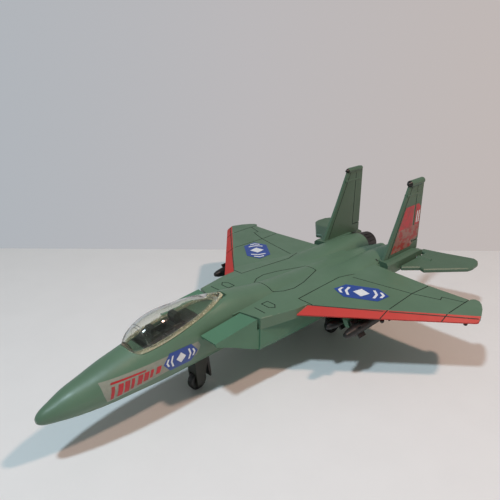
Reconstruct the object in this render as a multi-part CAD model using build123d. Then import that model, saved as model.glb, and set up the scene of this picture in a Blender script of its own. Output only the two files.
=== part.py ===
from build123d import *
import math
import os

# Toy twin-finned jet, die-cast upper body with a plastic belly, built from separate pieces.
# Frame: +Z up, nose towards -Y, origin on the ground under the middle of the bounding box.
# Lengths are millimetres. "Station" is the distance aft of the nose tip.

os.makedirs("parts", exist_ok=True)

# ---- driving dimensions -------------------------------------------------------------------
LENGTH = 193.0  # nose tip to tailplane trailing edge
HALF_SPAN = 69.0
WALL = 1.4  # shell thickness of both castings
RUN = 0.05  # radial clearance of a turning fit
GAP = 0.3  # clearance between moving faces
LINE_WIDTH = 0.36  # engraved panel line
LINE_DEPTH = 0.24

# canopy rim plane, which rises towards the tail
RIM_START = 30.6
RIM_HEIGHT = 27.8
RIM_SLOPE = 0.17
RIM_LENGTH = 41.0
RIM_CLEARANCE = 0.25

# wing
WING_LE_ROOT = (20.0, 90.5)  # x, station of the front edge
WING_LE_TIP = (HALF_SPAN, 136.0)
WING_ROOT_X = 13.0
WING_TOP_ROOT = 28.8
WING_TOP_TIP = 27.1
WING_THICK_ROOT = 3.3
WING_THICK_TIP = 2.1
BEVEL = (5.4, 3.4)  # station length of the bevelled leading edge at root and tip
BEVEL_DROP = (1.9, 1.5)

# parting between the two castings
PART_HEIGHT = 25.4
PART_STATION = 73.6
BELLY_HEIGHT = 15.6

# engines and tail
ENGINE_X = 10.1
ENGINE_Z = 23.4
NACELLE_END = 173.0
FIN_X = 16.8
STAB_Z = 25.0
STAB_PIVOT = 176.0
STAB_THICK = 1.9
SHAFT_R = 1.0

# landing gear
NOSE_WHEEL_R = 3.7
NOSE_WHEEL_STATION = 58.8
NOSE_PIVOT = (58.2, 18.2)
MAIN_WHEEL_R = 4.4
MAIN_WHEEL_STATION = 127.5
MAIN_PIVOT = (126.9, 20.4)
MAIN_X = 9.8
WHEEL_WIDTH = 2.6
CHEEK = 0.9  # fork cheek thickness
AXLE_R = 0.6
PIN_R = 0.8
LEG_HALF = WHEEL_WIDTH / 2 + GAP + CHEEK
SLOT_HALF = LEG_HALF + 0.5

# underwing load
PYLON_X = 32.0
MISSILE_OFFSET = 4.2
MISSILE_Z = 21.4
MISSILE_R = 2.0
MISSILE_NOSE = 98.5
MISSILE_LENGTH = 32.0

OVAL_POINTS = 16


# ---- helpers ------------------------------------------------------------------------------
def y_at(station):
    """Row-frame Y of a station."""
    return station - LENGTH / 2


def block(x0, x1, s0, s1, z0, z1):
    """Box from its limits in x, station and z."""
    size = (x1 - x0, s1 - s0, z1 - z0)
    return Pos((x0 + x1) / 2, y_at((s0 + s1) / 2), (z0 + z1) / 2) * Box(*size)


def cross_cylinder(radius, x0, x1, station, z):
    """Cylinder along X."""
    return Pos((x0 + x1) / 2, y_at(station), z) * Rot(0, 90, 0) * Cylinder(radius, x1 - x0)


def fore_cylinder(radius, x, s0, s1, z):
    """Cylinder along Y."""
    return Pos(x, y_at((s0 + s1) / 2), z) * Rot(90, 0, 0) * Cylinder(radius, s1 - s0)


def post(radius, station, z0, z1):
    """Upright cylinder on the middle plane."""
    return Pos(0, y_at(station), (z0 + z1) / 2) * Rot(0, 0, 33) * Cylinder(radius, z1 - z0)


def side_prism(points, x0, x1):
    """Polygon of (station, z) points, extruded from x0 to x1."""
    outline = Polyline([(x0, y_at(s), z) for s, z in points], close=True)
    return extrude(make_face(outline), x1 - x0, dir=(1, 0, 0))


def plan_prism(points, z0, z1):
    """Polygon of (x, station) points, extruded from z0 to z1."""
    outline = Polyline([(x, y_at(s), z0) for x, s in points], close=True)
    return extrude(make_face(outline), z1 - z0, dir=(0, 0, 1))


def oval(station, x_mid, half_width, z_low, z_high, power):
    """Superellipse face across the fuselage: power 2 is an ellipse, higher is squarer."""
    z_mid, half_height = (z_low + z_high) / 2, (z_high - z_low) / 2
    points = []
    for i in range(OVAL_POINTS):
        turn = 2 * math.pi * (i + 0.5) / OVAL_POINTS
        c, s = math.cos(turn), math.sin(turn)
        x = x_mid + half_width * math.copysign(abs(c) ** (2 / power), c)
        z = z_mid + half_height * math.copysign(abs(s) ** (2 / power), s)
        points.append((x, y_at(station), z))
    return make_face(Spline(points, periodic=True))


def line_prisms(path, z0, z1):
    """Thin upright walls along a path of (x, station) points, for engraving panel lines."""
    walls = []
    for (x0, s0), (x1, s1) in zip(path, path[1:]):
        length = math.hypot(x1 - x0, s1 - s0) + LINE_WIDTH
        angle = math.degrees(math.atan2(s1 - s0, x1 - x0))
        place = Pos((x0 + x1) / 2, y_at((s0 + s1) / 2), (z0 + z1) / 2) * Rot(0, 0, angle)
        walls.append(place * Box(length, LINE_WIDTH, z1 - z0))
    return walls


def engrave(solid, walls, shift):
    """Cuts thin walls into the skin of a solid, as deep as the shift moves it."""
    sunk = Pos(*shift) * solid
    for wall in walls:
        solid -= (wall & solid) - sunk
    return solid


def mirrored(solid):
    return mirror(solid, about=Plane.YZ)


def both_sides(solid):
    return solid + mirrored(solid)


# ---- fuselage and engine bodies -----------------------------------------------------------
FUSELAGE = [  # station, half width, bottom, top, power
    (0.0, 0.8, 17.7, 19.3, 2.0),
    (0.9, 1.7, 16.9, 20.4, 2.0),
    (4.1, 3.0, 16.0, 22.1, 2.0),
    (8.7, 4.4, 15.2, 24.1, 2.0),
    (15.3, 5.8, 14.4, 26.0, 2.0),
    (22.2, 6.8, 14.0, 27.9, 2.1),
    (30.0, 7.5, 13.8, 29.8, 2.1),
    (38.0, 7.9, 13.7, 31.8, 2.3),
    (48.0, 8.1, 13.7, 34.2, 2.4),
    (60.0, 8.2, 13.9, 35.0, 2.4),
    (71.0, 8.2, 14.2, 35.1, 2.4),
    (84.0, 8.1, 14.8, 33.0, 2.3),
    (97.0, 8.1, 15.2, 31.2, 2.3),
    (118.0, 8.0, 15.6, 29.9, 2.3),
    (150.0, 6.5, 17.3, 28.6, 2.3),
    (166.0, 4.6, 19.0, 27.4, 2.3),
    (179.0, 2.6, 21.4, 25.8, 2.0),
]
NACELLE = [  # station, centre x, half width, bottom, top, power
    (75.0, 12.6, 4.2, 16.4, 29.2, 7.0),
    (90.0, 11.3, 6.2, 15.8, 28.6, 5.0),
    (110.0, 10.4, 7.2, 15.4, 28.6, 4.5),
    (130.0, 10.2, 7.3, 15.5, 29.4, 3.6),
    (150.0, ENGINE_X, 7.3, 16.1, 30.2, 2.8),
    (165.0, ENGINE_X, 7.0, 16.5, 30.3, 2.3),
    (NACELLE_END, ENGINE_X, 6.3, ENGINE_Z - 6.3, ENGINE_Z + 6.3, 2.0),
]
HOLLOW_END = 146.0
BRAKE_OUTLINE = [
    (-3.0, 122.4),
    (-7.4, 109.0),
    (-8.6, 102.0),
    (-7.6, 97.0),
    (-5.0, 93.0),
    (5.0, 93.0),
    (7.6, 97.0),
    (8.6, 102.0),
    (7.4, 109.0),
    (3.0, 122.4),
    (-3.0, 122.4),
]
DECK_TOP = [(70.0, 29.9), (97.0, 29.9), (125.0, 29.2), (152.0, 28.6)]  # station, z
DECK_PLAN = [  # x, station
    (0, 70),
    (8.0, 70),
    (8.0, 73),
    (16.7, 75.1),
    (20.0, 90.2),
    (20.4, 96.4),
    (24, 99.5),
    (24, 146),
    (0, 152),
]
DECK_LINES = [
    [(9.6, 79.2), (14.8, 79.0)],
    [(9.2, 83.0), (13.0, 83.0), (14.6, 84.6), (13.0, 86.2), (9.2, 86.2), (9.2, 83.0)],
    [(21.5, 97.4), (15.8, 96.4), (13.9, 124.0), (16.0, 131.5), (22.6, 145.6)],
]


def fuselage(inset=0.0):
    """Centre body from nose tip to engines. An inset gives its hollow inside."""
    rows = FUSELAGE if inset == 0 else [row for row in FUSELAGE if 14 < row[0] < 151]
    return loft([oval(s, 0, w - inset, lo + inset, hi - inset, p) for s, w, lo, hi, p in rows])


def nacelle(inset=0.0):
    rows = NACELLE if inset == 0 else NACELLE[:-1]
    faces = [oval(s, x, w - inset, lo + inset, hi - inset, p) for s, x, w, lo, hi, p in rows]
    return loft(faces)


def deck():
    """Flat shoulders between the wings, sloping down to the wing roots."""
    inner_x, outer_x, drop = 15.0, 24.0, 1.1

    def profile(x, down):
        upper = [(x, y_at(s), z - down) for s, z in DECK_TOP]
        lower = [(x, y_at(s), PART_HEIGHT) for s, z in (DECK_TOP[-1], DECK_TOP[0])]
        return make_face(Polyline(upper + lower, close=True))

    middle = loft([profile(0, 0), profile(inner_x, 0)], ruled=True)
    side = loft([profile(inner_x, 0), profile(outer_x, drop)], ruled=True)
    shoulder = (middle + side) & plan_prism(DECK_PLAN, PART_HEIGHT - 1, 40)
    walls = [wall for path in DECK_LINES for wall in line_prisms(path, 27, 32)]
    return both_sides(engrave(shoulder, walls, (0, 0, -LINE_DEPTH)))


def above_rim(drop, s0, s1):
    """Everything above the canopy rim plane, lowered by drop, between two stations."""
    z0 = RIM_HEIGHT + RIM_SLOPE * (s0 - RIM_START) - drop
    z1 = RIM_HEIGHT + RIM_SLOPE * (s1 - RIM_START) - drop
    return side_prism([(s0, z0), (s1, z1), (s1, 50), (s0, 50)], -12, 12)


# ---- canopy and cockpit -------------------------------------------------------------------
CANOPY = [  # distance along the rim plane, half width, height
    (0.0, 1.9, 1.0),
    (1.6, 4.3, 3.8),
    (4.6, 5.7, 6.1),
    (8.0, 6.3, 7.4),
    (12.0, 6.6, 8.0),
    (18.0, 6.5, 7.4),
    (24.5, 5.9, 6.2),
    (31.0, 4.8, 4.6),
    (36.0, 3.4, 2.8),
    (RIM_LENGTH, 1.5, 0.9),
]
RIM_TILT = math.degrees(math.atan(RIM_SLOPE))
RIM_FRAME = Pos(0, y_at(RIM_START), RIM_HEIGHT) * Rot(RIM_TILT, 0, 0)
ARCH_POINTS = 12
CANOPY_SKIN = 0.8
CANOPY_FRAME = 1.4  # width of the thicker foot of the canopy
HINGE_ALONG = 39.6
HINGE_UP = -1.0
HINGE_R = 0.55
TUB_STATIONS = (35.8, 58.0)
TUB_HALF = 4.7
TUB_FLOOR = 23.6


def bubble(grow, base):
    """Canopy volume: grow widens it, base is its lower limit relative to the rim plane."""
    faces = []
    rows = CANOPY if grow >= 0 else [row for row in CANOPY if row[1] > 3]
    for along, half, height in rows:
        width, rise = half + grow, height + grow
        arch = []
        for i in range(ARCH_POINTS + 1):
            turn = math.pi * i / ARCH_POINTS
            c, s = math.cos(turn), math.sin(turn)
            x = width * math.copysign(abs(c) ** 0.9, c)
            arch.append((x, along, max(s, 0.0) ** 0.9 * rise))
        foot = Polyline(arch[-1], (-width, along, base), (width, along, base), arch[0])
        faces.append(make_face(Wire([Spline(arch).edge(), *foot.edges()])))
    return RIM_FRAME * loft(faces)


def rim_point(along, up):
    """(station, z) of a point given along and above the rim plane."""
    tilt = math.radians(RIM_TILT)
    station = RIM_START + along * math.cos(tilt) - up * math.sin(tilt)
    return station, RIM_HEIGHT + along * math.sin(tilt) + up * math.cos(tilt)


def canopy():
    outside = bubble(0, -1)
    shell = outside - bubble(-CANOPY_SKIN, -2)
    foot = outside - bubble(-CANOPY_FRAME, -2)
    middle = RIM_LENGTH / 2
    band = RIM_FRAME * Pos(0, middle, RIM_CLEARANCE + 0.4) * Box(30, 60, 0.8)
    above = RIM_FRAME * Pos(0, middle, 10 + RIM_CLEARANCE) * Box(30, 60, 20)
    bow = (outside - bubble(-1.15, -2)) & (RIM_FRAME * Pos(0, 6.5, 5) * Box(30, 0.9, 20))
    solid = (shell & above) + (foot & band) + (bow & above)
    s, z = rim_point(HINGE_ALONG, HINGE_UP)
    strap = RIM_FRAME * Pos(0, HINGE_ALONG - 0.9, -0.1) * Box(1.6, 2.6, 1.2)
    hook = cross_cylinder(1.1, -0.8, 0.8, s, z)
    return solid + strap + hook - cross_cylinder(HINGE_R + RUN, -2, 2, s, z)


def canopy_pin():
    s, z = rim_point(HINGE_ALONG, HINGE_UP)
    return cross_cylinder(HINGE_R, -3.4, 3.4, s, z)


def canopy_pocket():
    """Room for the canopy's hinge in the spine, as it swings up."""
    s, z = rim_point(HINGE_ALONG, HINGE_UP)
    return block(-1.3, 1.3, s - 3.2, s + 2.0, z - 1.6, 50) + block(-2.2, 2.2, s - 1.5, s + 2.4, z + 0.1, 50)


def cockpit_hole():
    return block(-TUB_HALF, TUB_HALF, *TUB_STATIONS, TUB_FLOOR, 50)


def cockpit_tub():
    """Open box with side consoles, flush with the canopy sill."""
    outer = cockpit_hole() - above_rim(0.3, 30, 75)
    s0, s1 = TUB_STATIONS
    wall = 0.8
    outer -= block(-3.0, 3.0, s0 + wall, 53.0, TUB_FLOOR + 1.0, 50)
    outer -= block(-TUB_HALF + wall, TUB_HALF - wall, s0 + wall, 53.0, 27.6, 50)
    return outer


def seat():
    """Pilot seat with headrest, standing on the tub floor."""
    floor = TUB_FLOOR + 1.0
    profile = [
        (44.0, floor),
        (50.6, floor),
        (51.6, 34.6),
        (50.6, 35.6),
        (49.0, 35.4),
        (48.4, 34.2),
        (48.9, 32.2),
        (48.0, 31.2),
        (47.4, 27.4),
        (44.0, 27.6),
    ]
    chair = side_prism(profile, -2.4, 2.4)
    shoulders = block(-2.9, -1.7, 40, 60, 31.6, 40)
    chair -= both_sides(shoulders)
    cushion = block(-1.5, 1.5, 43.0, 46.8, 27.0, 40)
    return chair - cushion


def instrument_panel():
    """Coaming in front of the pilot, sloping down forwards."""
    hood = [(37.0, 28.0), (42.2, 28.0), (42.6, 31.4), (41.8, 32.2), (39.4, 31.6), (37.0, 29.7)]
    panel = side_prism(hood, -3.4, 3.4)
    panel += block(-1.6, 1.6, 39.6, 41.6, 31.0, 33.6)
    legs = block(-2.6, 2.6, 37.4, 41.0, TUB_FLOOR + 1.0, 28.2)
    return panel + legs


# ---- wings --------------------------------------------------------------------------------
WING_LINES = [  # x, station
    [(42.4, 117.4), (41.6, 134.8), (42.6, 147.4)],
    [(17.6, 129.0), (41.6, 134.8), (51.6, 138.8), (50.9, 141.4), (59.2, 144.3)],
    [(58.7, 131.6), (59.1, 148.2)],
]
LE_JOINTS = (42.4, 58.7)
WING_PLAN = [  # x, station
    (0, 60),
    (HALF_SPAN - 1.4, 60),
    (HALF_SPAN - 1.4, 134.9),
    (HALF_SPAN - 0.8, 136.0),
    (67.6, 139.4),
    (65.8, 144.2),
    (63.9, 147.8),
    (62.2, 149.7),
    (60.6, 150.0),
    (59.6, 149.0),
    (59.0, 147.6),
    (42.5, 146.6),
    (0, 147.6),
]


def along_wing(x, root, tip):
    """Value at x of something that changes evenly from the wing's root to its tip."""
    return root + (tip - root) * (x - WING_LE_ROOT[0]) / (WING_LE_TIP[0] - WING_LE_ROOT[0])


def wing_le(x):
    """Station of the wing's front edge at x."""
    return along_wing(x, WING_LE_ROOT[1], WING_LE_TIP[1])


def wing_profile(x, thick):
    """Wing section at x: bevelled leading edge, flat top and thin trailing edge."""
    le, te, top = wing_le(x), 152.0, along_wing(x, WING_TOP_ROOT, WING_TOP_TIP)
    drop = along_wing(x, *BEVEL_DROP)
    points = [
        (le, top - drop),
        (le + along_wing(x, *BEVEL), top),
        (le + 0.6 * (te - le), top),
        (te, top - 0.3),
        (te, top - 1.5),
        (le + 0.5 * (te - le), top - thick),
        (le + 2.4, top - thick),
        (le + 0.2, top - drop - 0.5),
    ]
    return make_face(Polyline([(x, y_at(s), z) for s, z in points], close=True))


def wing():
    """Left wing, whose root runs into the body."""
    reach = HALF_SPAN + 1.0
    ends = [wing_profile(WING_ROOT_X, WING_THICK_ROOT), wing_profile(reach, WING_THICK_TIP)]
    solid = loft(ends, ruled=True) & plan_prism(WING_PLAN, 10, 40)
    paths = WING_LINES + [[(x, wing_le(x) - 1), (x, wing_le(x) + along_wing(x, *BEVEL))] for x in LE_JOINTS]
    walls = [wall for path in paths for wall in line_prisms(path, 24.5, 32)]
    return engrave(solid, walls, (0, 0, -LINE_DEPTH))


# ---- intakes ------------------------------------------------------------------------------
INTAKE_X = (8.7, 16.3)
INTAKE_SKIN = 0.9
INTAKE_TOP = [(54.4, 28.1), (73.0, 29.9), (84.0, 29.6)]
INTAKE_LIP = [(84.0, 16.2), (75.8, 16.9), (69.5, 19.7), (61.5, 23.8), (55.0, 26.6)]
BREAK_PLAN = [(0, 40), (30, 40), (30, 76.2), (0, 70.9)]  # ahead of the visible parting


def intake():
    """Raked intake box beside the cockpit, open in front."""
    x0, x1 = INTAKE_X
    t = INTAKE_SKIN
    box = side_prism(INTAKE_TOP + INTAKE_LIP, x0, x1)
    duct = [(40.0, 26.4 - t)] + [(s, z - t) for s, z in INTAKE_TOP] + [(84.0, 17.8), (40.0, 17.8)]
    box -= side_prism(duct, x0 + t, x1 - t)
    ahead = plan_prism(BREAK_PLAN, 0, 60) + block(0, 30, 60, 84, 0, PART_HEIGHT)
    return box & ahead


# ---- castings -----------------------------------------------------------------------------
SCREWS = [  # station, underside of the head, foot and top of the seat
    (84.0, 15.0, 15.7, 18.1),
    (140.0, 17.3, 17.7, PART_HEIGHT),
]
SCREW_R = 1.1
HEAD_R = 2.0
HEAD_HEIGHT = 1.4
BOSS_R = 2.9
LUG = 1.5
NOSE_BAY = (-SLOT_HALF, SLOT_HALF, 39.2, 65.0)
NOSE_LUG_FOOT = 15.2
MAIN_LUG_FOOT = 16.4
LUG_SPANS = ((-SLOT_HALF - LUG, -SLOT_HALF), (SLOT_HALF, SLOT_HALF + LUG))
MAIN_BAY = (MAIN_X - SLOT_HALF, MAIN_X + SLOT_HALF, 105.4, 132.4)
NOZZLE_SEAT_R = 5.0
NOZZLE_SEAT = 168.5
FIN_PEGS = [(156.0, 27.2), (166.5, 27.2)]  # station, z
FIN_PEG_R = 0.9


def lugs(x_mid, pivot, foot):
    """Two ears beside a gear bay, bored for the leg's pivot pin."""
    s, z = pivot
    ears = [block(x_mid + a, x_mid + b, s - 2.2, s + 2.2, foot, z + 2.0) for a, b in LUG_SPANS]
    return ears[0] + ears[1] - cross_cylinder(PIN_R, x_mid - 9, x_mid + 9, s, z)


def engine_seats():
    seat_hole = fore_cylinder(NOZZLE_SEAT_R, ENGINE_X, NOZZLE_SEAT, 190, ENGINE_Z)
    return both_sides(seat_hole)


def castings():
    """The metal upper body with wings, the plastic belly with intakes, and their full outline."""
    centre = engrave(fuselage() + deck(), line_prisms(BRAKE_OUTLINE, 27, 40), (0, 0, -LINE_DEPTH))
    body = centre + both_sides(nacelle())
    body -= above_rim(0, 34, RIM_START + RIM_LENGTH - 0.4)
    shell = body
    for cavity in (fuselage(WALL) - above_rim(WALL, 20, 78), nacelle(WALL), mirrored(nacelle(WALL))):
        shell -= cavity - block(-30, 30, HOLLOW_END, 200, 0, 60)
    region = block(-25, 25, PART_STATION, 190, 0, PART_HEIGHT)
    region += block(-8.5, 8.5, 36, PART_STATION, 0, BELLY_HEIGHT)

    upper = shell - region + both_sides(wing())
    lug_room = block(LUG_SPANS[0][0] - 0.1, LUG_SPANS[1][1] + 0.1, 55.8, 60.6, 13, 20.6)
    nose_room = block(*NOSE_BAY, 8, 20.6) + lug_room
    for cut in (bubble(0.25, -0.02), cockpit_hole(), canopy_pocket(), canopy_pin(), engine_seats(), nose_room):
        upper -= cut
    lower = (shell & region) + both_sides(intake())
    lower -= block(*NOSE_BAY, 8, 19)
    lower -= both_sides(block(*MAIN_BAY, 8, 20)) + engine_seats()
    lower += lugs(0, NOSE_PIVOT, NOSE_LUG_FOOT)
    lower += both_sides(lugs(MAIN_X, MAIN_PIVOT, MAIN_LUG_FOOT))
    for station, head, foot, seat_top in SCREWS:
        shoulder = head + HEAD_HEIGHT
        upper += post(BOSS_R, station, seat_top, 40) & body
        upper -= post(SCREW_R, station, 14, seat_top + 2.4)
        lower += post(BOSS_R, station, foot, seat_top)
        lower -= post(SCREW_R, station, shoulder - 1, 26)
        lower -= post(HEAD_R + 0.15, station, 10, shoulder)
    for station, z in FIN_PEGS:
        upper -= both_sides(cross_cylinder(FIN_PEG_R, 13.4, 24, station, z))
    return upper, lower, body


def screws():
    group = []
    for station, head, _, seat_top in SCREWS:
        shoulder = head + HEAD_HEIGHT
        cap = post(HEAD_R, station, head, shoulder)
        cross = Pos(0, y_at(station), head + 0.25) * (Box(2.6, 0.55, 0.6) + Box(0.55, 2.6, 0.6))
        group.append(cap - cross + post(SCREW_R, station, shoulder, seat_top + 2.4))
    return Compound(children=group)


# ---- tail ---------------------------------------------------------------------------------
BOOM_PLAN = [  # x, station
    (14.0, 151.4),
    (20.8, 150.4),
    (21.0, 152.4),
    (21.0, 179.5),
    (19.8, 182.4),
    (17.0, 182.4),
    (16.9, 172.4),
    (14.0, 171.8),
]
BOOM_SIDE = [  # station, z
    (148.0, 22.6),
    (148.0, 29.3),
    (175.6, 29.3),
    (182.4, 27.2),
    (182.4, 23.6),
    (178.0, 22.6),
]
FIN_SIDE = [  # station, z of the fin's outline
    (151.8, 28.4),
    (160.8, 45.6),
    (168.0, 61.6),
    (169.4, 62.6),
    (178.6, 62.6),
    (179.8, 61.8),
    (180.0, 28.4),
]
FIN_HALF = (1.1, 0.7)  # half thickness at root and tip
FIN_EDGE = 2.4  # width of the sharpened leading edge
RUDDER_LINE = [(174.6, 60.0), (174.2, 33.0), (180.6, 33.0)]  # station, z
PODS = {"left": (166.6, 1.5), "right": (166.6, 1.1)}  # front station, radius
POD_Z = 61.5
POD_TIP = 1.8
STAB_PLAN = [  # x, station
    (21.4, 160.4),
    (22.6, 159.2),
    (28.3, 165.4),
    (30.8, 164.2),
    (44.2, 180.0),
    (44.9, 183.0),
    (44.6, 188.6),
    (43.2, 191.6),
    (41.0, 193.0),
    (39.2, 192.6),
    (26.0, 188.6),
    (18.0, 186.8),
    (18.0, 183.2),
    (21.4, 183.2),
]
STAB_HUB_R = 1.4
SHAFT = (17.6, 27.0)  # x range of the tailplane shaft


def blade():
    """Fin blade with a sharpened leading edge and rudder lines."""
    solid = side_prism(FIN_SIDE, FIN_X - FIN_HALF[0], FIN_X + FIN_HALF[0])
    z0, z1 = FIN_SIDE[0][1], FIN_SIDE[3][1]
    lean = FIN_HALF[0] - FIN_HALF[1]
    for side in (1, -1):
        x = FIN_X + side * FIN_HALF[0]
        corner = [(x, z0), (x + side * 3, z0), (x + side * 3, z1), (x - side * lean, z1)]
        outline = Polyline([(px, y_at(140), pz) for px, pz in corner], close=True)
        solid -= extrude(make_face(outline), 60, dir=(0, 1, 0))
        (s0, low), (s1, high) = FIN_SIDE[0], FIN_SIDE[2]
        edge = [
            make_face(Polyline([(FIN_X + side * 0.25, y_at(s - 1), z), (FIN_X + side * 3, y_at(s - 1), z),
                                (FIN_X + side * 3, y_at(s + FIN_EDGE + 4), z),
                                (FIN_X + side * half, y_at(s + FIN_EDGE), z)], close=True))
            for s, z, half in ((s0, low, FIN_HALF[0]), (s1, high, FIN_HALF[1]))
        ]
        solid -= loft(edge, ruled=True)
    for (s0, low), (s1, high) in zip(RUDDER_LINE, RUDDER_LINE[1:]):
        groove = side_prism(line_quad(s0, low, s1, high), FIN_X - 3, FIN_X + 3)
        solid -= groove - side_prism(line_quad(s0, low, s1, high), FIN_X - 0.65, FIN_X + 0.65)
    return solid


def line_quad(s0, z0, s1, z1):
    """Thin quadrilateral around a line in the side view."""
    length = math.hypot(s1 - s0, z1 - z0)
    ds, dz = (z1 - z0) / length * LINE_WIDTH / 2, (s0 - s1) / length * LINE_WIDTH / 2
    return [(s0 + ds, z0 + dz), (s1 + ds, z1 + dz), (s1 - ds, z1 - dz), (s0 - ds, z0 - dz)]


def fin(side):
    """Left-hand fin on its boom, with two pegs into the body. The pod differs by side."""
    boom = plan_prism(BOOM_PLAN, 20, 32) & side_prism(BOOM_SIDE, 10, 24)
    boom = chamfer(boom.edges().filter_by(Axis.Y).group_by(Axis.X)[-1], 0.9)
    front, radius = PODS[side]
    pod = fore_cylinder(radius, FIN_X, front + POD_TIP, 179.8, POD_Z)
    pod = fillet(pod.edges().group_by(Axis.Y)[-1], radius * 0.6)
    lower_pod = fore_cylinder(0.9, FIN_X, 166.4, 178.8, 56.4)
    lower_pod = fillet(lower_pod.edges().group_by(Axis.Y)[-1], 0.5)
    solid = boom + blade() + pod + lower_pod
    for s, z in FIN_PEGS:
        solid += cross_cylinder(FIN_PEG_R, 13.6, 16.5, s, z)
    return solid


def pod_tip(side):
    """Pointed dark cap on the front of a fin's pod."""
    front, radius = PODS[side]
    place = Pos(FIN_X, y_at(front + POD_TIP / 2), POD_Z) * Rot(90, 0, 0)
    tip = place * Cone(radius, radius * 0.35, POD_TIP)
    return fillet(tip.edges().group_by(Axis.Y)[0], radius * 0.3)


def stabilator():
    """Left all-moving tailplane with its hub."""
    plate = plan_prism(STAB_PLAN, STAB_Z - STAB_THICK / 2, STAB_Z + STAB_THICK / 2)
    top, bottom = plate.faces().sort_by(Axis.Z)[-1], plate.faces().sort_by(Axis.Z)[0]
    plate = chamfer(top.edges() + bottom.edges(), 0.45)
    solid = plate + cross_cylinder(STAB_HUB_R, 21.4, SHAFT[1] + 1, STAB_PIVOT, STAB_Z)
    return solid - cross_cylinder(SHAFT_R + RUN, 20, SHAFT[1] + 0.2, STAB_PIVOT, STAB_Z)


def nozzle():
    """Petalled engine nozzle with a spigot in the tail and an inner burner ring."""
    x, z = ENGINE_X, ENGINE_Z
    ring = Pos(x, y_at(NACELLE_END + 4.2), z) * Rot(90, 0, 0) * Cone(5.2, 6.2, 8.4)
    ring += fore_cylinder(NOZZLE_SEAT_R, x, NOZZLE_SEAT, NACELLE_END + 1, z)
    ring -= fore_cylinder(4.3, x, NOZZLE_SEAT + 1.2, 190, z)
    petals = 18
    for i in range(petals):
        turn = Rot(0, 360 * i / petals, 0)
        ring -= Pos(x, y_at(NACELLE_END + 5.4), z) * turn * Pos(0, 0, 6.1) * Box(0.4, 7.4, 1.6)
    hub = Pos(x, y_at(NOZZLE_SEAT + 2.0), z) * Rot(90, 0, 0) * Cone(0.8, 2.0, 3.0)
    return ring + hub


# ---- landing gear -------------------------------------------------------------------------
NOSE_LEG = [(55.9, 19.6), (60.6, 19.6), (62.2, 14.2), (61.6, 9.6), (60.5, 2.5), (57.3, 2.5), (56.4, 12.0)]
NOSE_DOOR = [(60.7, 14.0), (62.7, 14.0), (63.9, 4.3), (63.2, 4.3), (61.8, 11.0)]
MAIN_LEG = [(124.6, 22.0), (129.2, 22.0), (130.4, 15.4), (129.4, 9.0), (129.1, 3.1), (125.9, 3.1), (124.6, 13.0)]


def leg(outline, x_mid, pivot, wheel_r, wheel_station):
    """Folding fork: a slab with a slot for the wheel, a pivot bore and an axle bore."""
    s, z = pivot
    solid = side_prism(outline, x_mid - LEG_HALF, x_mid + LEG_HALF)
    inner = WHEEL_WIDTH / 2 + GAP
    solid -= cross_cylinder(wheel_r + 0.5, x_mid - inner, x_mid + inner, wheel_station, wheel_r)
    solid -= cross_cylinder(PIN_R + RUN, x_mid - 9, x_mid + 9, s, z)
    return solid - cross_cylinder(AXLE_R, x_mid - 9, x_mid + 9, wheel_station, wheel_r)


def wheel(x_mid, radius, station):
    """Tyre with a recessed hub on both sides."""
    half = WHEEL_WIDTH / 2
    tyre = cross_cylinder(radius, x_mid - half, x_mid + half, station, radius)
    tyre = fillet(tyre.edges().filter_by(GeomType.CIRCLE), 0.6)
    for side in (1, -1):
        x = x_mid + side * half
        recess = cross_cylinder(radius * 0.62, min(x, x - side * 0.5), max(x, x - side * 0.5), station, radius)
        hub = cross_cylinder(radius * 0.3, min(x, x - side * 0.6), max(x, x - side * 0.6), station, radius)
        tyre = tyre - recess + hub
    return tyre - cross_cylinder(AXLE_R + RUN, x_mid - 3, x_mid + 3, station, radius)


def axle(x_mid, radius, station):
    return cross_cylinder(AXLE_R, x_mid - LEG_HALF, x_mid + LEG_HALF, station, radius)


def pivot_pin(x_mid, pivot):
    reach = SLOT_HALF + LUG
    return cross_cylinder(PIN_R, x_mid - reach, x_mid + reach, *pivot)


# ---- underwing load -----------------------------------------------------------------------
PYLON_SIDE = [(105.4, 27.5), (104.2, 24.2), (106.2, 20.2), (127.0, 20.2), (129.6, 24.0), (129.6, 27.5)]
PYLON_HALF = 1.1
RAIL = (106.6, 126.5)  # stations


def missile(side):
    """Missile beside the left pylon: ogive nose, four canards and four tail fins."""
    x = PYLON_X + side * MISSILE_OFFSET
    s0, s1 = MISSILE_NOSE, MISSILE_NOSE + MISSILE_LENGTH
    half = [(0.0, s0), (0.9, s0 + 0.5), (1.5, s0 + 2.2), (MISSILE_R, s0 + 5.4), (MISSILE_R, s1), (0.0, s1)]
    outline = Polyline([(x + r, y_at(s), MISSILE_Z) for r, s in half], close=True)
    axis = Axis((x, 0, MISSILE_Z), (0, 1, 0))
    solid = revolve(make_face(outline), axis)
    for start, length, reach in ((s0 + 6.5, 3.6, 1.5), (s1 - 6.0, 5.4, 1.9)):
        for turn in (45, 135):
            plate = Pos(x, y_at(start + length / 2), MISSILE_Z) * Rot(0, turn, 0)
            solid += plate * Box(2 * (MISSILE_R + reach), length, 0.6)
    return solid


def pylon(wing_solid, missiles):
    solid = side_prism(PYLON_SIDE, PYLON_X - PYLON_HALF, PYLON_X + PYLON_HALF)
    reach = MISSILE_OFFSET - MISSILE_R + 0.5
    solid += block(PYLON_X - reach, PYLON_X + reach, *RAIL, MISSILE_Z - 0.7, MISSILE_Z + 0.7)
    return solid - wing_solid - missiles[0] - missiles[1]


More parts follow.
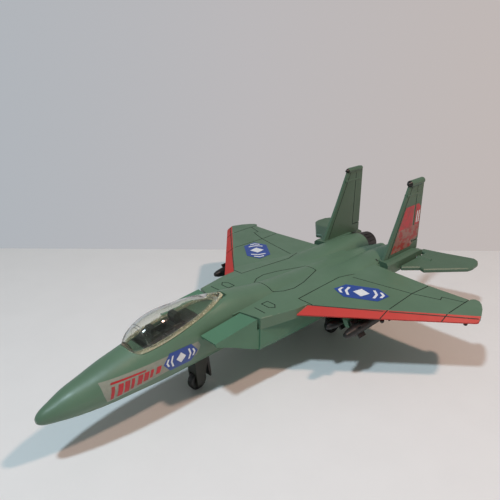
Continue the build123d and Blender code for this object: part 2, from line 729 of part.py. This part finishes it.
# ---- every piece --------------------------------------------------------------------------
upper, lower, body_outline = castings()
pieces = {
    "upper_body": upper,
    "lower_body": lower,
    "cockpit_tub": cockpit_tub(),
    "seat": seat(),
    "instrument_panel": instrument_panel(),
    "canopy": canopy(),
    "canopy_pin": canopy_pin(),
    "screws": screws(),
    "nose_leg": leg(NOSE_LEG, 0, NOSE_PIVOT, NOSE_WHEEL_R, NOSE_WHEEL_STATION),
    "nose_pivot_pin": pivot_pin(0, NOSE_PIVOT),
    "nose_axle": axle(0, NOSE_WHEEL_R, NOSE_WHEEL_STATION),
    "nose_wheel": wheel(0, NOSE_WHEEL_R, NOSE_WHEEL_STATION),
}
pieces["nose_door"] = side_prism(NOSE_DOOR, -LEG_HALF, LEG_HALF) - pieces["nose_leg"]

missiles = [missile(-1), missile(1)]
main_axle = (MAIN_X, MAIN_WHEEL_R, MAIN_WHEEL_STATION)
paired = {
    "main_leg": leg(MAIN_LEG, MAIN_X, MAIN_PIVOT, MAIN_WHEEL_R, MAIN_WHEEL_STATION),
    "main_pivot_pin": pivot_pin(MAIN_X, MAIN_PIVOT),
    "main_axle": axle(*main_axle),
    "main_wheel": wheel(*main_axle),
    "nozzle": nozzle(),
    "stabilator": stabilator(),
    "stabilator_shaft": cross_cylinder(SHAFT_R, *SHAFT, STAB_PIVOT, STAB_Z),
    "pylon": pylon(upper, missiles),
    "missile_inner": missiles[0],
    "missile_outer": missiles[1],
}
for name, solid in paired.items():
    pieces[name + "_left"] = solid
    pieces[name + "_right"] = mirrored(solid)
for side in ("left", "right"):
    place = mirrored if side == "right" else lambda solid: solid
    tip = pod_tip(side)
    tail = fin(side) - body_outline - paired["stabilator_shaft"] - tip
    pieces["fin_" + side] = place(tail)
    pieces["pod_tip_" + side] = place(tip)

for name, solid in pieces.items():
    solid.label = name
    export_step(solid, f"parts/{name}.step")
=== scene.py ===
import math

import bmesh
import bpy
from mathutils import Matrix, Vector
from mathutils.bvhtree import BVHTree


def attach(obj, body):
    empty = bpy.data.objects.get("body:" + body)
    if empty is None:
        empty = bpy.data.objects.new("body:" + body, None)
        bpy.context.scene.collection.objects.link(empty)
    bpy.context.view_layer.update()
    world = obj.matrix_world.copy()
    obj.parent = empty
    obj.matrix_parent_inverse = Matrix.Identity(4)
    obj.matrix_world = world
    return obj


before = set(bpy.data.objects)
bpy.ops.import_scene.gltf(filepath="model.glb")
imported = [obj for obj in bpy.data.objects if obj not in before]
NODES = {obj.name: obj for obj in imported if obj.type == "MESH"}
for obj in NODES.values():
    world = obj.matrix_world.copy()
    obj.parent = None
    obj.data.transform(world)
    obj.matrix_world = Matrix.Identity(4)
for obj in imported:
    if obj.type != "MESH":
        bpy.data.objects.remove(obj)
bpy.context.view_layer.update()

# Looks of the toy jet: paint, film stickers, clear canopy, small fittings, table and lights.
# "Station" is the distance aft of the nose tip in millimetres, as in the model's own frame.
MM = 0.001
MIDDLE = 96.5  # station of the frame's origin


def srgb(r, g, b):
    """Linear colour of an 8-bit display colour."""
    out = []
    for v in (r, g, b):
        v /= 255
        out.append(v / 12.92 if v <= 0.04045 else ((v + 0.055) / 1.055) ** 2.4)
    return (*out, 1.0)


def shade(colour, k):
    return (colour[0] * k, colour[1] * k, colour[2] * k, 1.0)


# ---- materials ----------------------------------------------------------------------------
def base_material(name):
    mat = bpy.data.materials.new(name)
    mat.use_nodes = True
    nodes, links = mat.node_tree.nodes, mat.node_tree.links
    return mat, nodes, links, nodes["Principled BSDF"], nodes.new("ShaderNodeTexCoord")


def noise(nodes, links, coords, scale, detail=3.0, rough=0.55):
    tex = nodes.new("ShaderNodeTexNoise")
    tex.inputs["Scale"].default_value = scale
    tex.inputs["Detail"].default_value = detail
    tex.inputs["Roughness"].default_value = rough
    links.new(coords.outputs["Object"], tex.inputs["Vector"])
    return tex.outputs["Fac"]


def ramp(nodes, links, source, stops):
    node = nodes.new("ShaderNodeValToRGB")
    band = node.color_ramp
    band.elements[0].position, band.elements[0].color = stops[0]
    band.elements[1].position, band.elements[1].color = stops[-1]
    for position, colour in stops[1:-1]:
        band.elements.new(position).color = colour
    links.new(source, node.inputs["Fac"])
    return node.outputs["Color"]


def bumpy(nodes, links, shader, height, strength, distance):
    bump = nodes.new("ShaderNodeBump")
    bump.inputs["Strength"].default_value = strength
    bump.inputs["Distance"].default_value = distance
    links.new(height, bump.inputs["Height"])
    links.new(bump.outputs["Normal"], shader.inputs["Normal"])


def mixed(nodes, links, factor, a, colour_b):
    mix = nodes.new("ShaderNodeMix")
    mix.data_type = "RGBA"
    links.new(factor, mix.inputs["Factor"])
    links.new(a, mix.inputs["A"])
    mix.inputs["B"].default_value = colour_b
    return mix.outputs["Result"]


def painted(name, colour, rough=0.5, spread=0.07, grain=0.05, specular=0.5, scuff=None):
    """Paint or moulded plastic: slow colour drift, fine grain, patchy gloss, a few rubbed spots."""
    mat, nodes, links, shader, coords = base_material(name)
    drift = noise(nodes, links, coords, 55, 4)
    tone = ramp(nodes, links, drift, [(0.3, shade(colour, 1 - spread)), (0.7, shade(colour, 1 + spread))])
    if scuff:
        stops = [(0.66, (0, 0, 0, 1)), (0.8, (0.5, 0.5, 0.5, 1))]
        spots = ramp(nodes, links, noise(nodes, links, coords, 330, 6, 0.7), stops)
        tone = mixed(nodes, links, spots, tone, scuff)
    links.new(tone, shader.inputs["Base Color"])
    level = nodes.new("ShaderNodeMapRange")
    level.inputs["From Min"].default_value = 0.3
    level.inputs["From Max"].default_value = 0.7
    level.inputs["To Min"].default_value = rough - 0.05
    level.inputs["To Max"].default_value = rough + 0.06
    links.new(noise(nodes, links, coords, 130), level.inputs["Value"])
    links.new(level.outputs["Result"], shader.inputs["Roughness"])
    shader.inputs["Specular IOR Level"].default_value = specular
    bumpy(nodes, links, shader, noise(nodes, links, coords, 2600, 2), grain, 0.0002)
    return mat


def clear_plastic(name, colour, transmission, rough):
    """Injection-moulded clear plastic with fine scuffs and slow flow ripples."""
    mat, nodes, links, shader, coords = base_material(name)
    shader.inputs["Base Color"].default_value = colour
    shader.inputs["Transmission Weight"].default_value = transmission
    shader.inputs["IOR"].default_value = 1.47
    scuffs = noise(nodes, links, coords, 700, 6, 0.7)
    stops = [(0.45, (rough, rough, rough, 1)), (0.75, (rough * 4, rough * 4, rough * 4, 1))]
    links.new(ramp(nodes, links, scuffs, stops), shader.inputs["Roughness"])
    bumpy(nodes, links, shader, noise(nodes, links, coords, 160, 1), 0.1, 0.0004)
    return mat


def brushed(name, colour):
    mat, nodes, links, shader, coords = base_material(name)
    streaks = noise(nodes, links, coords, 900, 4)
    stops = [(0.35, shade(colour, 0.75)), (0.65, shade(colour, 1.1))]
    links.new(ramp(nodes, links, streaks, stops), shader.inputs["Base Color"])
    shader.inputs["Metallic"].default_value = 1.0
    shader.inputs["Roughness"].default_value = 0.36
    return mat


def film(name, colour, alpha=1.0, rough=0.3, blotch=None):
    """Printed sticker film with slightly uneven ink."""
    mat, nodes, links, shader, coords = base_material(name)
    ink = noise(nodes, links, coords, 900, 3)
    tone = ramp(nodes, links, ink, [(0.35, shade(colour, 0.93)), (0.65, shade(colour, 1.04))])
    if blotch:
        stops = [(0.46, (0, 0, 0, 1)), (0.56, (1, 1, 1, 1))]
        patches = ramp(nodes, links, noise(nodes, links, coords, 380, 4), stops)
        tone = mixed(nodes, links, patches, tone, blotch)
    links.new(tone, shader.inputs["Base Color"])
    shader.inputs["Roughness"].default_value = rough
    shader.inputs["Alpha"].default_value = alpha
    return mat


GREEN = srgb(90, 119, 96)
# lighter green for the glove's edge strip: rubbed paint and a painted highlight of the edge
WEAR_AND_HIGHLIGHT = srgb(128, 142, 120)
MATERIALS = {
    "metal_green": painted("paint_green", GREEN, rough=0.4, grain=0.06, scuff=srgb(100, 122, 104)),
    "plastic_green": painted("plastic_green", srgb(80, 123, 97), rough=0.48, spread=0.05),
    "fin_green": painted("plastic_fin", srgb(80, 107, 86), rough=0.44, spread=0.06),
    "red": painted("paint_red", srgb(190, 44, 36), rough=0.5, spread=0.06),
    "dark": painted("cockpit_dark", srgb(46, 52, 42), rough=0.5, spread=0.15),
    "olive": painted("leg_olive", srgb(34, 38, 28), rough=0.5, spread=0.12),
    "black": painted("moulded_black", srgb(24, 25, 24), rough=0.42, spread=0.12),
    "nozzle": painted("nozzle_dark", srgb(32, 27, 25), rough=0.4, spread=0.2),
    # dark of engraved lines and joints, also used as painted shade in gaps between parts
    "line": painted("panel_line", srgb(36, 48, 39), rough=0.7),
    "worn": painted("rubbed_edge", WEAR_AND_HIGHLIGHT, rough=0.5, spread=0.15),
    "steel": brushed("pin_steel", (0.45, 0.45, 0.46, 1)),
    "clear": clear_plastic("clear_canopy", (0.95, 0.96, 0.92, 1), 1.0, 0.035),
    "clear_foot": clear_plastic("clear_canopy_foot", (0.80, 0.78, 0.56, 1), 0.55, 0.12),
    "film": film("sticker_film", srgb(166, 167, 152), alpha=0.72),
    "film_pink": film("sticker_pink", srgb(168, 116, 106), alpha=0.85, blotch=srgb(176, 58, 54)),
    "white": film("ink_white", srgb(226, 230, 232)),
    "blue": film("ink_blue", srgb(40, 72, 150)),
    "ink_red": film("ink_red", srgb(190, 34, 44), blotch=srgb(168, 48, 50)),
}
FINISH = {  # piece, without its side: finish
    "upper_body": "metal_green",
    "lower_body": "plastic_green",
    "pylon": "plastic_green",
    "stabilator": "fin_green",
    "fin": "fin_green",
    "cockpit_tub": "dark",
    "seat": "dark",
    "instrument_panel": "dark",
    "canopy": "clear",
    "nose_leg": "olive",
    "main_leg": "olive",
    "nose_door": "black",
    "nose_wheel": "black",
    "main_wheel": "black",
    "pod_tip": "black",
    "missile_inner": "black",
    "missile_outer": "black",
    "nozzle": "nozzle",
    "nose_axle": "black",
    "main_axle": "black",
}

for name, obj in NODES.items():
    kind = name.removesuffix("_left").removesuffix("_right")
    obj.data.materials.clear()
    obj.data.materials.append(MATERIALS[FINISH.get(kind, "steel")])

# ---- painted zones ------------------------------------------------------------------------
LE_ROOT, LE_TIP = (20.0, 90.5), (69.0, 136.0)  # x and station of the wing's front edge
BEVEL = (5.4, 3.4)  # its bevel's length at root and tip
RIM_STATION, RIM_HEIGHT, RIM_SLOPE = 30.6, 27.8, 0.17  # plane that the canopy stands on
RED_FROM_X, RED_FROM_Z = 20.3, 23.0  # the red band lies outboard of this x and above this height
WING_TOP_LEVEL = 0.985  # faces as level as this are the wing's top, not its bevel
GROOVE_REACH, GROOVE_LIFT = 0.45, 0.02  # mm, for the rays that find engraved lines
FOOT_HEIGHT = 1.15  # mm of frosted foot above the canopy's plane
FILM_LIFT, LAYER_STEP = 0.05, 0.03  # mm that a film stands off the surface, and each layer on the last
CELL_NUDGE = 0.013  # mm that keeps a film's cuts off its corners


def along_wing(x, root, tip):
    return root + (tip - root) * (x - LE_ROOT[0]) / (LE_TIP[0] - LE_ROOT[0])


def wing_le(x):
    return along_wing(x, LE_ROOT[1], LE_TIP[1])


def above_rim(station, z):
    return (z - RIM_HEIGHT - RIM_SLOPE * (station - RIM_STATION)) / math.hypot(1, RIM_SLOPE)


def paint_zone(node, finish, inside):
    """Gives the faces that pass the test another finish."""
    mesh = NODES[node].data
    index = len(mesh.materials)
    mesh.materials.append(MATERIALS[finish])
    for face in mesh.polygons:
        if inside(face):
            face.material_index = index


def tree_of(*names):
    """Search tree over CAD nodes, to lay stickers on and to find grooves."""
    verts, faces = [], []
    for name in names:
        mesh = NODES[name].data
        start = len(verts)
        verts += [v.co.copy() for v in mesh.vertices]
        faces += [[start + i for i in f.vertices] for f in mesh.polygons]
    return BVHTree.FromPolygons(verts, faces)


def on_leading_edge(face):
    x, y, z = face.center / MM
    x, station = abs(x), y + MIDDLE
    ahead = station < wing_le(x) + along_wing(x, *BEVEL) + 0.05
    sloping = face.normal.z < WING_TOP_LEVEL or station < wing_le(x) + 1
    return x > RED_FROM_X and z > RED_FROM_Z and ahead and sloping


def groove_test(node):
    """Says whether a face is the wall or the floor of an engraved panel line."""
    tree = tree_of(node)
    reach, lift = GROOVE_REACH * MM, GROOVE_LIFT * MM

    def inside(face):
        start = face.center + face.normal * lift
        if tree.ray_cast(start, face.normal, reach)[0] is not None:
            return True
        side = face.normal.orthogonal().normalized()
        for quarter in range(4):
            way = Matrix.Rotation(quarter * math.pi / 4, 3, face.normal) @ side
            if all(tree.ray_cast(start, way * sign, reach)[0] is not None for sign in (1, -1)):
                return True
        return False

    return inside


def on_foot(face):
    _, y, z = face.center / MM
    return above_rim(y + MIDDLE, z) < FOOT_HEIGHT


paint_zone("upper_body", "red", on_leading_edge)
for name in ("upper_body", "fin_left", "fin_right"):
    paint_zone(name, "line", groove_test(name))
paint_zone("canopy", "clear_foot", on_foot)


# ---- film stickers ------------------------------------------------------------------------
def sticker(name, shapes, place, tree, body="airframe", cell=1.0):
    """Flat shapes in their own plane, cut into cells and laid on the surface under them.

    shapes is a list of (outline in mm, finish, layer); place is the plane's 4x4 matrix in mm, whose -Z
    points at the surface.
    """
    mesh = bpy.data.meshes.new(name)
    bm = bmesh.new()
    finishes = []
    for outline, finish, layer in shapes:
        if finish not in finishes:
            finishes.append(finish)
        part = bmesh.new()
        part.faces.new([part.verts.new((x, y, 0)) for x, y in outline])
        for axis in (0, 1):
            values = [p[axis] for p in outline]
            for i in range(1, int((max(values) - min(values)) / cell) + 1):
                spot, way = [0, 0, 0], [0, 0, 0]
                spot[axis] = min(values) + i * cell - CELL_NUDGE
                way[axis] = 1
                geom = part.verts[:] + part.edges[:] + part.faces[:]
                bmesh.ops.bisect_plane(part, geom=geom, plane_co=spot, plane_no=way)
        bmesh.ops.triangulate(part, faces=[f for f in part.faces if len(f.verts) > 4])
        aim = place.to_3x3() @ Vector((0, 0, -1))
        laid = {}
        for v in part.verts:
            hit = tree.ray_cast(place @ Vector((v.co.x, v.co.y, 0)) * MM, aim)[0]
            if hit is not None:
                laid[v] = bm.verts.new(hit - aim * (FILM_LIFT + LAYER_STEP * layer) * MM)
        for f in part.faces:
            if all(v in laid for v in f.verts):
                face = bm.faces.new([laid[v] for v in f.verts])
                face.material_index = finishes.index(finish)
                face.smooth = True
        part.free()
    bm.to_mesh(mesh)
    bm.free()
    obj = bpy.data.objects.new(name, mesh)
    bpy.context.scene.collection.objects.link(obj)
    for finish in finishes:
        mesh.materials.append(MATERIALS[finish])
    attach(obj, body)


def plane(x, station, z, right, up):
    """4x4 matrix of a sticker plane in mm, from its middle and two directions."""
    right = Vector(right).normalized()
    out = right.cross(Vector(up)).normalized()
    up = out.cross(right)
    place = Matrix.Translation((x, station - MIDDLE, z))
    return place @ Matrix((right, up, out)).transposed().to_4x4()


def turned(shapes):
    """The same shapes seen from the other side."""
    return [([(-x, y) for x, y in reversed(outline)], finish, layer) for outline, finish, layer in shapes]


def moved(shapes, dx, dy):
    return [([(x + dx, y + dy) for x, y in outline], finish, layer) for outline, finish, layer in shapes]


def slanted(x0, x1, y0, y1, lean=0.0):
    return [(x0, y0), (x1, y0), (x1 + lean, y1), (x0 + lean, y1)]


def ribbon(points, width):
    """Outline of a narrow band along a path."""
    left, right = [], []
    for i, (x, y) in enumerate(points):
        (ax, ay), (bx, by) = points[max(i - 1, 0)], points[min(i + 1, len(points) - 1)]
        long = math.hypot(bx - ax, by - ay)
        nx, ny = (by - ay) / long * width / 2, -(bx - ax) / long * width / 2
        left.append((x - nx, y - ny))
        right.append((x + nx, y + ny))
    return right + left[::-1]


def badge(length, height):
    """Plain club badge: blue six-sided plate with a white diamond between chevrons."""
    a, b = length / 2, height / 2
    k = a - b * 0.8
    shapes = [([(-a, 0), (-k, -b), (k, -b), (a, 0), (k, b), (-k, b)], "blue", 1)]
    c = b * 0.6
    shapes.append(([(-c, 0), (0, -c), (c, 0), (0, c)], "white", 2))
    for side in (-1, 1):
        for start, tall in ((0.3, 0.62), (0.43, 0.42)):
            x0, w, h = side * length * start * 0.95, side * 0.08 * length, b * tall
            back, shoulder, point = x0 - w, x0 - 0.4 * w, x0 + 0.2 * w
            arrow = [(back, -h), (shoulder, -h), (point, 0), (shoulder, h), (back, h), (shoulder, 0)]
            shapes.append((arrow if side > 0 else arrow[::-1], "white", 2))
    return shapes


def nose_strip():
    """Grey film with a short red line over slanted red bars, and a badge."""
    base = [(-17.8, -1.6), (-16.8, -4.6), (16.6, -1.6), (18.2, 1.6), (17.2, 3.4), (-18.4, 2.4)]
    shapes = [(base, "film", 0)]
    bars = 8
    for i in range(bars):
        x0, part = -16.0 + 2.25 * i, i / (bars - 1)
        low, high = -4.0 + 2.3 * part, 0.3 + 0.5 * part
        shapes.append((slanted(x0, x0 + (1.7 if i % 3 else 1.1), low, high, 0.8), "ink_red", 1))
    shapes.append((slanted(-15.4, -3.6, 1.0, 1.6, 0.3), "ink_red", 1))
    return shapes + moved(badge(14.0, 6.6), 9.9, 0.3)


def fin_flash():
    """Red flash over a mottled pink tail of the same film, with two white ticks."""
    return [
        ([(-13.4, -15.0), (3.0, -15.0), (9.4, -11.0), (9.4, -5.0), (-8.6, -5.0)], "film_pink", 0),
        ([(-8.6, -5.0), (9.4, -5.0), (9.4, 3.0), (7.4, 5.0), (-3.8, 5.0)], "ink_red", 0),
        (slanted(6.0, 6.9, -4.0, 1.6, 0.3), "white", 1),
        (slanted(7.7, 8.6, -4.0, 1.6, 0.3), "white", 1),
    ]


wing_tree = tree_of("upper_body")
body_tree = tree_of("upper_body", "lower_body")
WING_BADGES = {"left": (27.9, 120.0, (17.4, 10.8, 0)), "right": (-32.0, 121.6, (14.4, -11.0, 0))}
TOP_LINES = [  # path of (x, station), width, finish
    # lighter strip along the glove's edge: rubbed paint and a painted highlight of the edge
    ([(16.5, 75.6), (18.2, 82.6), (19.8, 90.2), (20.2, 95.8)], 0.4, "worn"),
    # dark strip over the intake's parting joint, widened with painted shade of the gap
    ([(9.0, 72.6), (16.5, 74.0)], 0.6, "line"),
    ([(21.4, 97.3), (44.6, 117.0), (67.8, 136.9)], 0.34, "line"),
    # dark strip ahead of the tail boom: painted shade of the gap where the boom piece meets the body
    ([(14.2, 150.8), (20.6, 149.7)], 0.9, "line"),
]
FIN_BEVEL = [(155.0, 30.0), (162.6, 45.5), (169.9, 60.4)]  # station and z, behind the sharp front edge
FIN_PLANE = (170.0, 46.0)  # station and z
NOSE_STRIP = (36.5, 22.6)  # station and z
OVER_WING = 40  # height from which stickers are laid down on the top
BESIDE_NOSE, BESIDE_FIN, BETWEEN_FINS = 30, 40, 2  # x from which stickers are laid on a side
for side, name in ((1, "left"), (-1, "right")):
    x, station, along = WING_BADGES[name]
    where = plane(x, station, OVER_WING, along, (-along[1], along[0], 0))
    sticker(f"wing_badge_{name}", badge(21.5, 10.8), where, wing_tree)

    strip = nose_strip() if side > 0 else turned(nose_strip())
    where = plane(side * BESIDE_NOSE, *NOSE_STRIP, (0, side, 0), (0, 0, 1))
    sticker(f"nose_strip_{name}", strip, where, body_tree, cell=0.8)

    fin_tree = tree_of("fin_" + name)
    flash = fin_flash() if side > 0 else turned(fin_flash())
    outside = plane(side * BESIDE_FIN, *FIN_PLANE, (0, side, 0), (0, 0, 1))
    sticker(f"fin_flash_{name}", flash, outside, fin_tree)
    seam = [(station - FIN_PLANE[0], z - FIN_PLANE[1]) for station, z in FIN_BEVEL]
    seam = [(ribbon(seam, 0.34), "line", 0)]
    sticker(f"fin_seam_outer_{name}", seam if side > 0 else turned(seam), outside, fin_tree)
    inside = plane(side * BETWEEN_FINS, *FIN_PLANE, (0, -side, 0), (0, 0, 1))
    sticker(f"fin_seam_inner_{name}", turned(seam) if side > 0 else seam, inside, fin_tree)

    above = plane(0, MIDDLE, OVER_WING, (1, 0, 0), (0, 1, 0))
    lines = [
        (ribbon([(x, s - MIDDLE) for x, s in path], width), finish, 0) for path, width, finish in TOP_LINES
    ]
    sticker(f"top_lines_{name}", lines if side > 0 else turned(lines), above, body_tree)


# ---- small fittings -----------------------------------------------------------------------
def lathe(name, profile, place, finish, segments=20):
    """Turned piece from (radius, height) points in mm, its axis along the plane's Z."""
    bm = bmesh.new()
    rings = []
    for radius, height in profile:
        ring = []
        for i in range(segments):
            turn = 2 * math.pi * i / segments
            spot = place @ Vector((radius * math.cos(turn), radius * math.sin(turn), height))
            ring.append(bm.verts.new(spot * MM))
        rings.append(ring)
    for low, high in zip(rings, rings[1:]):
        for i in range(segments):
            k = (i + 1) % segments
            bm.faces.new((low[i], low[k], high[k], high[i])).smooth = True
    bm.faces.new(rings[0][::-1])
    bm.faces.new(rings[-1])
    mesh = bpy.data.meshes.new(name)
    bm.to_mesh(mesh)
    bm.free()
    mesh.materials.append(MATERIALS[finish])
    obj = bpy.data.objects.new(name, mesh)
    bpy.context.scene.collection.objects.link(obj)
    return obj


STUD = [(0.75, 0.0), (0.78, 0.5), (0.7, 0.9), (0.5, 1.12), (0.2, 1.2)]  # radius and height
STUD_X = (42.4, 64.6)
STUD_BEHIND_EDGE, STUD_Z = 1.6, 25.1
for side, name in ((1, "left"), (-1, "right")):
    for number, x in enumerate(STUD_X):
        where = plane(side * x, wing_le(x) + STUD_BEHIND_EDGE, STUD_Z, (-1, 0, 0), (0, 1, 0))
        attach(lathe(f"edge_stud_{name}_{number}", STUD, where, "black"), "airframe")

# ---- table, light and camera --------------------------------------------------------------
EYE = Vector((129.73, -136.95, 121.71)) * MM
RIGHT = Vector((0.69592, 0.7181, 0.00584))
DOWN = Vector((0.27459, -0.25858, -0.92614))
FORWARD = Vector((-0.66355, 0.64612, -0.37713))
LENS = 37.74
TABLE_EDGE = 0.2995  # horizontal distance from the eye to the table's far edge
TABLE_HALF = 2.5
CEILING, ROOM_BEHIND = (0.2, 0.21, 0.21, 1), (0.16, 0.165, 0.165, 1)
LAMP_SIZE = 0.05


def table():
    ahead = Vector((FORWARD.x, FORWARD.y, 0)).normalized()
    across = Vector((RIGHT.x, RIGHT.y, 0)).normalized()
    foot = Vector((EYE.x, EYE.y, 0))
    near, far = -TABLE_HALF, TABLE_EDGE
    reach = [(near, -TABLE_HALF), (near, TABLE_HALF), (far, TABLE_HALF), (far, -TABLE_HALF)]
    mesh = bpy.data.meshes.new("table")
    mesh.from_pydata([tuple(foot + ahead * a + across * b) for a, b in reach], [], [(0, 1, 2, 3)])
    obj = bpy.data.objects.new("table", mesh)
    bpy.context.scene.collection.objects.link(obj)
    mesh.materials.append(painted("table_white", srgb(231, 231, 229), 0.42, 0.012, 0.02, 0.4))


def room():
    """Pale wall, cooler on the left, under a dimmer ceiling and with a dim room behind the camera."""
    world = bpy.data.worlds.new("room")
    bpy.context.scene.world = world
    world.use_nodes = True
    nodes, links = world.node_tree.nodes, world.node_tree.links
    coords = nodes.new("ShaderNodeTexCoord")

    def level(direction, low, high):
        dot = nodes.new("ShaderNodeVectorMath")
        dot.operation = "DOT_PRODUCT"
        dot.inputs[1].default_value = direction
        links.new(coords.outputs["Generated"], dot.inputs[0])
        node = nodes.new("ShaderNodeMapRange")
        node.inputs["From Min"].default_value = low
        node.inputs["From Max"].default_value = high
        links.new(dot.outputs["Value"], node.inputs["Value"])
        return node.outputs["Result"]

    wall = [(0.0, srgb(176, 181, 187)), (0.5, srgb(187, 184, 186)), (1.0, srgb(193, 184, 181))]
    tone = ramp(nodes, links, level(RIGHT, -0.45, 0.45), wall)
    tone = mixed(nodes, links, level((0, 0, 1), 0.08, 0.35), tone, CEILING)
    behind = (-FORWARD.x, -FORWARD.y, 0)
    tone = mixed(nodes, links, level(behind, 0.0, 0.8), tone, ROOM_BEHIND)
    links.new(tone, nodes["Background"].inputs["Color"])


def lamp(name, place, power, colour):
    data = bpy.data.lights.new(name, "AREA")
    data.shape, data.size, data.energy, data.color = "DISK", LAMP_SIZE, power, colour
    obj = bpy.data.objects.new(name, data)
    obj.location = place
    obj.rotation_euler = (-Vector(place)).to_track_quat("-Z", "Y").to_euler()
    bpy.context.scene.collection.objects.link(obj)


def camera():
    data = bpy.data.cameras.new("view")
    data.lens, data.sensor_width, data.clip_start, data.clip_end = LENS, 36, 0.005, 20
    obj = bpy.data.objects.new("view", data)
    turn = Matrix((RIGHT, -DOWN, -FORWARD)).transposed().to_4x4()
    obj.matrix_world = Matrix.Translation(EYE) @ turn
    bpy.context.scene.collection.objects.link(obj)
    bpy.context.scene.camera = obj


table()
room()
lamp("cool_lamp", (0.0743, -0.254, 0.55), 1.95, (0.7, 0.88, 1.0))
lamp("warm_lamp", (0.297, 0.141, 0.55), 1.62, (1.0, 0.66, 0.53))
camera()
bpy.context.scene.view_settings.view_transform = "Standard"
